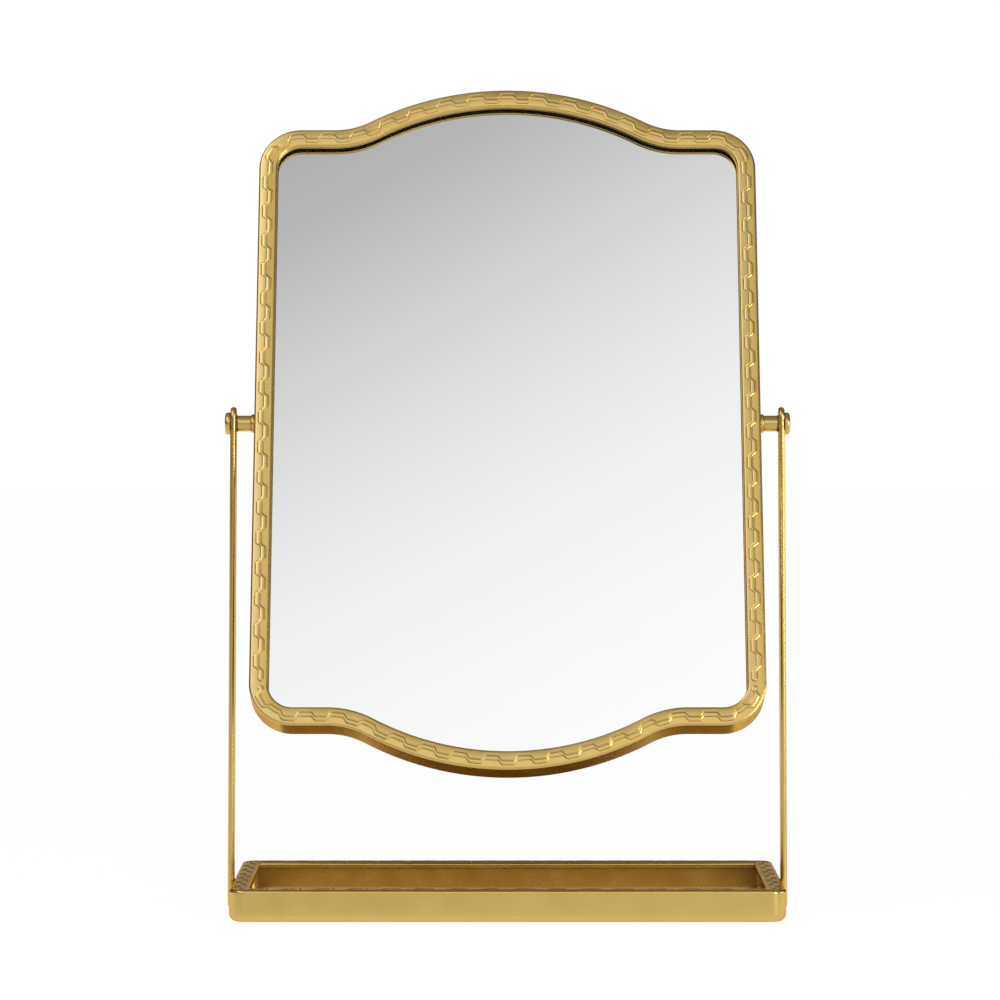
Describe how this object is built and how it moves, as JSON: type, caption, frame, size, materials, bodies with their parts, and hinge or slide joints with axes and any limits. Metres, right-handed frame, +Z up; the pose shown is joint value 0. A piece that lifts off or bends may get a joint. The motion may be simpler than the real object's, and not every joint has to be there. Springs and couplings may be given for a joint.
{
  "type": "tabletop tilting vanity mirror with tray",
  "caption": "Arched vanity mirror in a wave-embossed gold metal frame, tilting between two slim uprights beside a shallow open tray.",
  "frame": {"origin": "on the table under the pivot axis, midway between the uprights", "axes": "+X to the viewer's right along the pivot axis, +Y away from the viewer, +Z up; the mirror faces -Y, its top leaning back 21 degrees at rest"},
  "size_m": [0.2824, 0.1446, 0.4145],
  "materials": {
    "gold_paint": "satin metallic gold paint on steel",
    "mirror_silver": "silvered float glass",
    "dark_board": "dark fibreboard",
    "black_rubber": "matt",
    "grey_foam": "closed-cell foam strip",
    "nylon": "dark nylon",
    "zinc_steel": "zinc-plated fasteners"
  },
  "bodies": {
    "stand": {"tray_wall": "gold_paint", "tray_floor": "gold_paint", "upright_left": "gold_paint", "upright_right": "gold_paint", "upright_screws_left": "zinc_steel", "upright_screws_right": "zinc_steel", "foot_pad_front_left": "black_rubber", "foot_pad_front_right": "black_rubber", "foot_pad_back_left": "black_rubber", "foot_pad_back_right": "black_rubber"},
    "mirror": {"mirror_frame": "gold_paint", "mirror_glass": "mirror_silver", "glass_cushion": "black_rubber", "backing_board": "dark_board", "foam_strip_left": "grey_foam", "foam_strip_right": "grey_foam", "back_panel": "dark_board", "panel_tabs": "zinc_steel", "panel_screws": "zinc_steel", "pivot_screw_left": "gold_paint", "pivot_screw_right": "gold_paint", "pivot_nut_left": "zinc_steel", "pivot_nut_right": "zinc_steel", "spacer_sleeve_left": "gold_paint", "spacer_sleeve_right": "gold_paint", "collar_left": "gold_paint", "collar_right": "gold_paint", "friction_washer_left": "nylon", "friction_washer_right": "nylon"}
  },
  "joints": [
    {"name": "mirror_tilt", "type": "hinge", "parent": "stand", "child": "mirror", "pos_m": [0, 0, 0.245], "axis": [1, 0, 0], "continuous": true}
  ]
}
